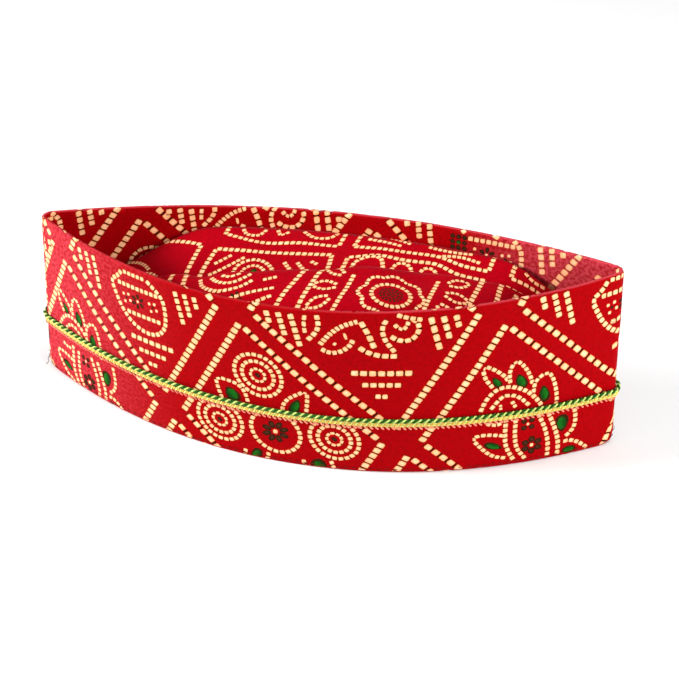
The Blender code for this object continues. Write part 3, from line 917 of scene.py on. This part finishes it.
def crown_print():
    """The crown's stretch of the lattice: squares between plain bands, drawn as it lies."""
    bars = [
        # width, pitch, then the line's spots, x along the cap and v from the crease
        (2.3, 2.7, (-59.5, 21.4), (-61.4, 4.0), (-63.2, -22.0), (-60.0, -34.0), (-56.0, -48.0)),
        (2.3, 2.7, (-51.6, 19.2), (-54.6, 4.0), (-56.2, -20.0), (-52.0, -36.0), (-48.0, -50.0)),
        (2.3, 2.7, (2.4, 13.6), (2.0, 0.0), (-5.0, -21.0), (-8.4, -31.0), (-13.0, -46.0)),
        (2.3, 2.7, (10.0, 10.4), (8.6, 0.0), (2.6, -21.0), (0.4, -31.0), (-3.0, -48.0)),
        (2.4, 2.9, (73.6, 1.4), (72.4, -9.0), (70.8, -19.0), (67.6, -34.0), (64.0, -44.0)),
        (2.4, 2.9, (82.4, 0.6), (81.0, -8.0), (80.4, -21.0), (78.0, -36.0)),
        (2.2, 2.7, (-49.0, 38.0), (-50.0, 28.6)),
        (2.2, 2.7, (6.4, 32.0), (4.0, 20.4)),
        (2.2, 2.7, (14.4, 31.0), (11.0, 19.0)),
        (2.2, 2.7, (76.6, 20.0), (74.2, 7.4)),
        (2.2, 2.7, (86.4, 19.0), (84.4, 6.4)),
        (2.2, 2.8, (-49.0, 29.0), (-34.0, 24.2), (-16.0, 22.8), (3.6, 20.2)),
        (2.2, 2.8, (11.0, 19.0), (24.0, 15.2), (36.0, 13.2), (50.0, 11.8), (61.0, 8.2), (74.0, 7.2)),
        (2.2, 2.8, (84.4, 6.2), (98.0, 5.0), (112.0, 0.0)),
        (2.3, 2.9, (-51.6, 19.4), (-36.0, 17.4), (-20.0, 16.2), (2.4, 13.6)),
        (2.3, 2.9, (10.0, 10.6), (22.0, 10.6), (36.0, 7.6), (50.0, 6.8), (60.0, 2.4), (73.6, 1.4)),
        (2.3, 2.9, (82.4, 0.4), (96.0, -2.0), (108.0, -5.0)),
        (2.4, 3.2, (-80.0, 27.4), (-72.0, 25.4), (-59.5, 21.6)),
        # the curled leaf in the left square, its stalks and the three columns beside it
        (2.0, 2.4, (-40.4, 0.0), (-38.8, 8.4), (-31.6, 11.8), (-24.6, 8.0), (-21.0, 0.6), (-21.6, -5.0)),
        (1.8, 2.2, (-36.8, 0.6), (-35.2, 6.0), (-31.0, 8.0), (-26.4, 5.0), (-24.6, 0.0)),
        (1.9, 2.4, (-50.4, 9.4), (-43.2, 15.2)),
        (1.9, 2.4, (-51.4, 2.4), (-44.0, 7.6), (-36.8, 13.4)),
        (1.9, 2.4, (-49.2, -2.6), (-41.8, 3.0)),
        (2.0, 2.5, (-18.4, 10.0), (-15.0, 5.0), (-11.6, 0.2)),
        (2.0, 2.5, (-12.4, 9.4), (-8.6, 4.0), (-5.4, 0.0)),
        (2.0, 2.5, (-6.4, 9.6), (-2.6, 6.8)),
        # the bowls on the full side of the left square
        (1.9, 2.3, (-49.0, -19.6), (-46.0, -26.4), (-38.4, -31.0), (-30.2, -29.6), (-24.4, -24.6)),
        (1.9, 2.3, (-44.0, -20.0), (-40.4, -24.4), (-34.6, -26.6), (-28.8, -23.6), (-26.0, -20.6)),
        (1.8, 2.3, (-39.4, -20.2), (-35.0, -22.6), (-30.6, -20.0)),
        (1.8, 2.4, (-20.4, -24.6), (-14.4, -22.4)),
        (2.0, 2.6, (-35.0, -36.4), (-25.4, -32.8), (-14.0, -29.4)),
        (2.0, 2.6, (-25.0, -39.6), (-14.0, -34.4)),
        # the frame beside the mandala, and its arches towards the flat side
        (2.1, 2.5, (18.0, -20.6), (16.6, -29.4), (14.4, -39.4), (13.0, -45.0)),
        (2.1, 2.5, (54.2, -15.0), (53.0, -23.4), (51.4, -35.0), (50.0, -42.0)),
        (2.2, 2.6, (13.0, 1.0), (14.0, 6.8), (20.0, 10.0), (25.2, 7.8), (27.2, 0.8)),
        (2.0, 2.4, (31.0, 0.0), (32.4, 4.4), (36.0, 5.6), (39.4, 3.0), (40.4, -1.0)),
        (2.0, 2.4, (43.4, -2.0), (45.0, 2.8), (48.4, 3.8), (51.2, 1.0), (51.2, -4.0)),
        # what shows of the squares along the flat side
        (2.0, 2.4, (-42.6, 33.4), (-40.0, 29.4), (-34.2, 29.0), (-31.6, 33.2)),
        (2.0, 2.4, (-26.4, 33.0), (-24.0, 28.6), (-20.6, 31.4)),
        (2.0, 2.4, (-14.2, 31.6), (-8.2, 26.4), (-0.6, 26.6), (2.4, 30.0)),
        (1.9, 2.4, (16.4, 23.4), (24.0, 20.4), (33.0, 17.6)),
        (1.9, 2.4, (20.0, 26.0), (28.6, 23.0), (37.0, 19.4)),
        (1.9, 2.4, (45.0, 18.0), (55.0, 15.4), (66.0, 15.6)),
        (1.9, 2.4, (52.0, 12.0), (61.0, 12.8), (70.0, 11.0)),
        # the squares that run off under the right end
        (2.2, 2.7, (88.4, -8.0), (86.6, -18.0), (84.0, -30.0)),
        (2.2, 2.7, (96.6, -9.0), (94.0, -20.0), (91.0, -30.0)),
        (2.2, 2.7, (104.0, -11.0), (101.0, -22.0)),
        (2.0, 2.5, (90.0, 12.4), (94.0, 9.6), (100.0, 9.4)),
    ]
    marks = charted(bars)
    # the mandala: dark seeds, a ring and a scalloped ring, with leaves fanned out at both sides
    centre = np.array([36.0, -32.0])
    marks += [oval(centre, 0.7, 0.7, 0, 6, 0.0, petal_brown)]
    for radius, count in ((1.6, 6), (3.2, 12), (4.7, 17)):
        for k in range(count):
            turn = 2 * math.pi * k / count
            spot = centre + radius * np.array([math.cos(turn), 0.9 * math.sin(turn)])
            marks += [oval(spot, 0.66, 0.66, 0, 6, 0.0, petal_brown)]
    turn = np.linspace(0.0, 2 * np.pi, 97)
    for reach, wave, squash, width in ((8.6, 0.0, 0.86, 2.1), (12.3, 2.3, 0.92, 1.9)):
        row = reach + wave * np.abs(np.cos(4 * turn))
        row = np.stack([row * np.cos(turn), squash * row * np.sin(turn)], axis=1)
        marks += dash_row(centre + row, width, 2.35)
    for root, tip in (
        ((13.4, -21.0), (5.6, -15.4)),
        ((12.2, -28.6), (1.6, -28.2)),
        ((10.6, -36.4), (1.8, -42.4)),
        ((58.6, -17.0), (67.6, -12.2)),
        ((58.2, -24.6), (69.0, -25.4)),
        ((56.6, -32.0), (64.4, -38.6)),
    ):
        root, tip = np.array(root), np.array(tip)
        middle = (root + tip) / 2
        side = np.array([root[1] - tip[1], tip[0] - root[0]]) * 0.27
        leaf = [root + side * 0.3, middle + side, tip, middle - side, root - side * 0.3]
        marks += dash_row(rounded_line(leaf), 1.8, 2.2)
    marks += [oval((-30.8, 3.6), 2.4, 1.6, 80, 12, 0.25, leaf_green)]
    marks += [oval((-22.6, 31.0), 2.6, 1.6, 70, 12, 0.25, leaf_green)]
    marks += flower((-29.4, -34.6), 3.0, 6)
    marks += flower((-92.0, 10.0), 2.8, 5)
    marks += flower((-101.0, 12.0), 2.4, 5)
    curls = [
        # round the two small flowers at the left end
        (2.0, 2.5, (-98.0, 19.0), (-92.0, 17.0), (-86.0, 12.6), (-82.0, 8.0)),
        (1.9, 2.3, (-96.0, 5.0), (-90.0, 2.0), (-84.0, 6.0), (-78.0, 4.0), (-74.0, 0.0)),
    ]
    return kept_apart(marks + charted(curls))


even_stops = np.linspace(column_x[0], column_x[-1], 92)
crown_stops = np.unique(np.concatenate([even_stops, column_x[:7], column_x[-7:]]))
far_edge = np.interp(crown_stops, column_x, column_v[:, 0])
near_edge = np.interp(crown_stops, column_x, column_v[:, -1])
crown_edge = list(zip(crown_stops, near_edge)) + list(zip(crown_stops[::-1], far_edge[::-1]))
crown_inner = [
    (x, low + (high - low) * k)
    for x, low, high in zip(crown_stops[1:-1], near_edge[1:-1], far_edge[1:-1])
    for k in np.concatenate([[0.02], np.linspace(0.0, 1.0, 31)[1:-1], [0.98]])
]
crown = sewn(cloth_mesh("crown_cloth", crown_edge, crown_inner, crown_print(), crown_place))
# The crown's red is a little lighter than the cuff's and the band's though the cotton is the same: painted
# light for its upturned, brighter-lit face.
crown.data.materials.append(printed_cotton("crown_cotton", red=(0.32, 0.0, 0.005)))
given_thickness(crown, crown_cloth)
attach(crown, "root")
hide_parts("crown")

# The braid.
# A twisted cord of dark green and pale lime threads over a flat gold braid, laid side by side round
# the cuff and sewn down through its edge. Each thread is wound along one line by a node tree.
braid_height, green_radius = 31.8, 1.0
gold_height, gold_thickness, braid_gap = 2.4, 1.3, 0.2


def line_through(name, points, closed=True):
    """A line through spots in millimetres."""
    curve = bpy.data.curves.new(name, "CURVE")
    curve.dimensions = "3D"
    spline = curve.splines.new("POLY")
    spline.points.add(len(points) - 1)
    for spot, point in zip(spline.points, points):
        spot.co = (*(point / 1000.0), 1.0)
    spline.use_cyclic_u = closed
    obj = bpy.data.objects.new(name, curve)
    bpy.context.scene.collection.objects.link(obj)
    return obj


def ring_path(name, height, out):
    """A closed line round the cuff, out from its face."""
    stops = np.linspace(0.0, around, 481)[:-1]
    along, turn = np.interp(stops, ring_run, ring_along), np.interp(stops, ring_run, ring_turn)
    return line_through(name, lens(along, turn, height + 0 * stops, -out))


def node_of(tree, kind, **settings):
    """A new node with some of its settings."""
    node = tree.nodes.new(kind)
    for name, given in settings.items():
        setattr(node, name, given)
    return node


def line_tree(name, sizes):
    """A node tree that takes a line, a count, named sizes and a material, and spaces the line."""
    tree = bpy.data.node_groups.new(name, "GeometryNodeTree")
    tree.interface.new_socket(name="Line", in_out="INPUT", socket_type="NodeSocketGeometry")
    tree.interface.new_socket(name="Count", in_out="INPUT", socket_type="NodeSocketInt")
    for size in sizes:
        tree.interface.new_socket(name=size, in_out="INPUT", socket_type="NodeSocketFloat")
    tree.interface.new_socket(name="Material", in_out="INPUT", socket_type="NodeSocketMaterial")
    tree.interface.new_socket(name="Threads", in_out="OUTPUT", socket_type="NodeSocketGeometry")
    given = tree.nodes.new("NodeGroupInput")
    resample = node_of(tree, "GeometryNodeResampleCurve")
    tree.links.new(given.outputs["Line"], resample.inputs["Curve"])
    tree.links.new(given.outputs["Count"], resample.inputs["Count"])
    normals = node_of(tree, "GeometryNodeSetCurveNormal", mode="Z_UP")
    tree.links.new(resample.outputs[0], normals.inputs["Curve"])
    return tree, given, normals.outputs[0]


def thread_along(tree, path, radius, sides):
    """A smooth thread of one radius along a path, closed at its ends."""
    profile = node_of(tree, "GeometryNodeCurvePrimitiveCircle")
    profile.inputs["Resolution"].default_value = sides
    tree.links.new(radius, profile.inputs["Radius"])
    tube = node_of(tree, "GeometryNodeCurveToMesh")
    tube.inputs["Fill Caps"].default_value = True
    tree.links.new(path, tube.inputs["Curve"])
    tree.links.new(profile.outputs["Curve"], tube.inputs["Profile Curve"])
    smooth = node_of(tree, "GeometryNodeSetShadeSmooth")
    tree.links.new(tube.outputs[0], smooth.inputs["Geometry"])
    return smooth.outputs[0]


def end_tree(tree, threads, material):
    """The end of a node tree: its threads made real and dyed."""
    realize = node_of(tree, "GeometryNodeRealizeInstances")
    tree.links.new(threads, realize.inputs[0])
    paint = node_of(tree, "GeometryNodeSetMaterial")
    tree.links.new(realize.outputs[0], paint.inputs["Geometry"])
    tree.links.new(material, paint.inputs["Material"])
    tree.links.new(paint.outputs[0], tree.nodes.new("NodeGroupOutput").inputs[0])


def winding():
    """A node tree that winds one thread round a line."""
    tree, given, line = line_tree("wound_thread", ("Turns", "Start", "Outward", "Upward", "Thread"))
    share = node_of(tree, "GeometryNodeSplineParameter").outputs["Factor"]
    phase = value(tree, "MULTIPLY", share, given.outputs["Turns"])
    phase = value(tree, "MULTIPLY", value(tree, "ADD", phase, given.outputs["Start"]), 2 * math.pi)
    normal = node_of(tree, "GeometryNodeInputNormal").outputs[0]
    tangent = node_of(tree, "GeometryNodeInputTangent").outputs[0]
    cross = node_of(tree, "ShaderNodeVectorMath", operation="CROSS_PRODUCT")
    tree.links.new(tangent, cross.inputs[0])
    tree.links.new(normal, cross.inputs[1])
    total = node_of(tree, "ShaderNodeVectorMath", operation="ADD")
    swings = ((normal, "COSINE", "Outward"), (cross.outputs[0], "SINE", "Upward"))
    for part, (axis, wave, reach) in zip(total.inputs, swings):
        swing = value(tree, "MULTIPLY", value(tree, wave, phase), given.outputs[reach])
        scale = node_of(tree, "ShaderNodeVectorMath", operation="SCALE")
        tree.links.new(axis, scale.inputs[0])
        tree.links.new(swing, scale.inputs["Scale"])
        tree.links.new(scale.outputs[0], part)
    place = node_of(tree, "GeometryNodeSetPosition")
    tree.links.new(line, place.inputs["Geometry"])
    tree.links.new(total.outputs[0], place.inputs["Offset"])
    threads = thread_along(tree, place.outputs[0], given.outputs["Thread"], 6)
    end_tree(tree, threads, given.outputs["Material"])
    return tree


def made_mesh(line, tree, name, **given):
    """The plain mesh that a node tree makes of a line."""
    modifier = line.modifiers.new("made", "NODES")
    modifier.node_group = tree
    for item in tree.interface.items_tree:
        if item.in_out == "INPUT" and item.name in given:
            modifier[item.identifier] = given[item.name]
    bpy.context.view_layer.update()
    mesh = bpy.data.meshes.new_from_object(line.evaluated_get(bpy.context.evaluated_depsgraph_get()))
    line.modifiers.clear()
    mesh.name = name
    obj = bpy.data.objects.new(name, mesh)
    bpy.context.scene.collection.objects.link(obj)
    return obj


def thread(name, colour, rough=0.5):
    """Dyed thread: fine fibres along it and a slight change of tone."""
    material = bpy.data.materials.new(name)
    material.use_nodes = True
    tree = material.node_tree
    shader = tree.nodes["Principled BSDF"]
    place = tree.nodes.new("ShaderNodeTexCoord").outputs["Object"]
    speck = noise(tree, place, 1500.0, 2.0)
    darker = tuple(c * 0.55 for c in colour)
    dyed = blended(tree, step(tree, speck, 0.30, 0.62), darker, colour)
    tree.links.new(dyed, shader.inputs["Base Color"])
    shader.inputs["Roughness"].default_value = rough
    shader.inputs["Specular IOR Level"].default_value = 0.12
    shader.inputs["Sheen Weight"].default_value = 0.03
    bump = tree.nodes.new("ShaderNodeBump")
    bump.inputs["Strength"].default_value = 0.5
    bump.inputs["Distance"].default_value = 0.0001
    tree.links.new(speck, bump.inputs["Height"])
    tree.links.new(bump.outputs["Normal"], shader.inputs["Normal"])
    return material


def joined(name, pieces):
    """Several meshes as one piece."""
    work = bmesh.new()
    materials = []
    for piece in pieces:
        start = len(work.faces)
        work.from_mesh(piece.data)
        work.faces.ensure_lookup_table()
        for face in work.faces[start:]:
            face.material_index = len(materials)
        materials.append(piece.data.materials[0])
        bpy.data.objects.remove(piece)
    mesh = bpy.data.meshes.new(name)
    work.to_mesh(mesh)
    work.free()
    for material in materials:
        mesh.materials.append(material)
    obj = bpy.data.objects.new(name, mesh)
    bpy.context.scene.collection.objects.link(obj)
    return obj


def twisted(name, line, threads, **given):
    """Threads (material, radius) wound round one line, evenly apart, as one piece."""
    pieces = []
    for k, (material, radius) in enumerate(threads):
        given["Start"] = k / len(threads)
        given["Thread"] = radius / 1000.0
        given["Material"] = material
        pieces.append(made_mesh(line, wind, "%s_%d" % (name, k), **given))
    bpy.data.objects.remove(line)
    return joined(name, pieces)


wind = winding()
green_line = ring_path("green_line", braid_height, braid_gap + green_radius)
dark_green = thread("dark_green_thread", (0.010, 0.080, 0.001))
lime = thread("lime_thread", (0.55, 0.74, 0.18))
green_threads = [(dark_green, 0.60), (lime, 0.44)]
green_twist = dict(Turns=-170.0, Outward=0.00046, Upward=0.00046, Count=2040)
green_cord = twisted("green_cord_threads", green_line, green_threads, **green_twist)
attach(green_cord, "root")
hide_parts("green_cord")

gold_middle = braid_height - green_radius - braid_gap - gold_height / 2
gold_line = ring_path("gold_line", gold_middle, braid_gap + gold_thickness / 2)
gold = thread("gold_thread", (0.78, 0.47, 0.09), 0.4)
pale_gold = thread("pale_gold_thread", (0.74, 0.78, 0.20), 0.4)
gold_threads = [(gold, 0.46), (pale_gold, 0.46)]
gold_twist = dict(Turns=-255.0, Outward=0.00024, Upward=0.00070, Count=2550)
gold_braid = twisted("gold_braid_threads", gold_line, gold_threads, **gold_twist)
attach(gold_braid, "root")
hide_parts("gold_braid")

# The picots.
# Short slanted loops of salmon thread that edge the gold braid and catch it to the cuff.
picot_pitch, picot_length, picot_lean = 2.4, 2.0, 1.7
picot_lift, picot_radius = 0.5, 0.42


def stitching():
    """A node tree that sets one short bent stitch at every step along a closed line."""
    tree, given, line = line_tree("slanted_stitches", ("Along", "Down", "Lift", "Thread"))
    arch = node_of(tree, "GeometryNodeCurveQuadraticBezier")
    arch.inputs["Resolution"].default_value = 5
    bends = (("Start", 0.0, 0.0, 0.0), ("Middle", 0.5, 0.5, 2.0), ("End", 1.0, 1.0, 0.0))
    for socket, along, down, lift in bends:
        place = tree.nodes.new("ShaderNodeCombineXYZ")
        tree.links.new(value(tree, "MULTIPLY", given.outputs["Along"], along), place.inputs["X"])
        tree.links.new(value(tree, "MULTIPLY", given.outputs["Down"], -down), place.inputs["Y"])
        tree.links.new(value(tree, "MULTIPLY", given.outputs["Lift"], lift), place.inputs["Z"])
        tree.links.new(place.outputs[0], arch.inputs[socket])
    loop = thread_along(tree, arch.outputs["Curve"], given.outputs["Thread"], 5)
    points = node_of(tree, "GeometryNodeCurveToPoints", mode="EVALUATED")
    tree.links.new(line, points.inputs["Curve"])
    turned = node_of(tree, "FunctionNodeAxesToRotation", primary_axis="X", secondary_axis="Z")
    tree.links.new(points.outputs["Tangent"], turned.inputs[0])
    tree.links.new(points.outputs["Normal"], turned.inputs[1])
    scatter = node_of(tree, "GeometryNodeInstanceOnPoints")
    tree.links.new(points.outputs["Points"], scatter.inputs["Points"])
    tree.links.new(loop, scatter.inputs["Instance"])
    tree.links.new(turned.outputs[0], scatter.inputs["Rotation"])
    end_tree(tree, scatter.outputs[0], given.outputs["Material"])
    return tree


def stitch_row(name, line, **given):
    """One row of stitches along a line, as a plain mesh."""
    row = made_mesh(line, stitch, name, **given)
    bpy.data.objects.remove(line)
    return row


stitch = stitching()
picots = stitch_row(
    "picot_loops",
    ring_path("picot_line", gold_middle - gold_height / 2 + 0.35, 0.30),
    Count=int(round(around / picot_pitch)),
    Along=picot_lean / 1000.0,
    Down=picot_length / 1000.0,
    Lift=picot_lift / 1000.0,
    Thread=picot_radius / 1000.0,
    Material=thread("salmon_thread", (0.95, 0.26, 0.17)),
)
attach(picots, "root")

# The stitches.
# Dark red thread run through the cuff just above the rim, and overcast along the seam of the crown;
# its end hangs loose at the left fold.
stitch_length, stitch_pitch, rim_stitch_height = 2.0, 3.6, 2.2
seam_stitch_pitch, seam_stitch_reach, seam_stitch_lean = 3.0, 1.8, 0.9
rim_stitch_lift, seam_stitch_lift = 0.18, 0.25
rim_thread_radius, seam_thread_radius, tail_radius = 0.16, 0.18, 0.14
dark_red = thread("dark_red_thread", (0.10, 0.004, 0.002))
stops = np.linspace(0.0, around, 481)[:-1]
along, turn = np.interp(stops, ring_run, ring_along), np.interp(stops, ring_run, ring_turn)
height = rim_stitch_height + corner_drop(along, turn, rim_corner)
rim_stitches = stitch_row(
    "rim_stitches",
    line_through("rim_line", lens(along, turn, height, -0.05 + 0 * stops)),
    Count=int(round(around / stitch_pitch)),
    Along=stitch_length / 1000.0,
    Down=0.0,
    Lift=rim_stitch_lift / 1000.0,
    Thread=rim_thread_radius / 1000.0,
    Material=dark_red,
)
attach(rim_stitches, "root")

seam_points = lens(along, turn, seam_height(along) + 0.3, band_outside + 1.2, band_set_back)
seam_stitches = stitch_row(
    "seam_stitches",
    line_through("crown_line", seam_points[::-1]),
    Count=int(round(around / seam_stitch_pitch)),
    Along=seam_stitch_lean / 1000.0,
    Down=seam_stitch_reach / 1000.0,
    Lift=seam_stitch_lift / 1000.0,
    Thread=seam_thread_radius / 1000.0,
    Material=dark_red,
)
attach(seam_stitches, "root")

tail_knots = [(-136.6, 8.0, 6.6), (-138.0, 6.6, 5.2), (-137.6, 5.4, 3.6), (-138.8, 4.6, 2.4)]
tail_line = line_through("tail_line", rounded_line(tail_knots), closed=False)
tail_twist = dict(Turns=0.0, Outward=0.0, Upward=0.0, Count=14)
tail = twisted("thread_tail", tail_line, [(dark_red, tail_radius)], **tail_twist)
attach(tail, "root")

# The floor, the light and the camera.
# A plain pale table top, three broad soft lamps and a camera at the photograph's angle.
floor = bpy.data.objects.new("floor", bpy.data.meshes.new("floor"))
floor.data.from_pydata([(-6, -6, 0), (6, -6, 0), (6, 6, 0), (-6, 6, 0)], [], [(0, 1, 2, 3)])
bpy.context.scene.collection.objects.link(floor)
pale = bpy.data.materials.new("pale_table")
pale.use_nodes = True
pale.node_tree.nodes["Principled BSDF"].inputs["Base Color"].default_value = (0.74, 0.74, 0.74, 1)
pale.node_tree.nodes["Principled BSDF"].inputs["Roughness"].default_value = 0.8
floor.data.materials.append(pale)

world = bpy.data.worlds.new("studio")
bpy.context.scene.world = world
world.use_nodes = True
world.node_tree.nodes["Background"].inputs["Color"].default_value = (1.0, 1.0, 1.0, 1.0)
world.node_tree.nodes["Background"].inputs["Strength"].default_value = 0.42


def soft_lamp(name, place, aim, size, power):
    """A round lamp, metres wide and watts strong, turned towards a spot."""
    lamp = bpy.data.lights.new(name, "AREA")
    lamp.shape = "DISK"
    lamp.size = size
    lamp.energy = power
    obj = bpy.data.objects.new(name, lamp)
    obj.location = place
    obj.rotation_euler = (Vector(aim) - Vector(place)).to_track_quat("-Z", "Y").to_euler()
    bpy.context.scene.collection.objects.link(obj)


soft_lamp("lamp_left", (-1.35, -0.30, 0.50), (0, 0, 0.04), 0.5, 43.0)
soft_lamp("lamp_right", (1.30, -0.60, 0.60), (0, 0, 0.04), 0.7, 29.0)
soft_lamp("lamp_above", (0.30, -0.10, 1.20), (0, 0, 0.04), 0.5, 5.0)

camera_place = Vector((0.1154, -0.5091, 0.4350))
looking = Vector((-0.17499, 0.79090, -0.58639)).normalized()
rightward = looking.cross(Vector((0, 0, 1))).normalized()
upward = rightward.cross(looking)
lens_data = bpy.data.cameras.new("camera")
lens_data.sensor_width = 36.0
lens_data.lens = 75.4
lens_data.shift_x = 0.0243
lens_data.shift_y = -0.0356
lens_data.clip_start = 0.01
camera = bpy.data.objects.new("camera", lens_data)
facing = Matrix((rightward, upward, -looking)).transposed().to_4x4()
facing.translation = camera_place
camera.matrix_world = facing
bpy.context.scene.collection.objects.link(camera)
bpy.context.scene.camera = camera
bpy.context.scene.view_settings.view_transform = "Standard"
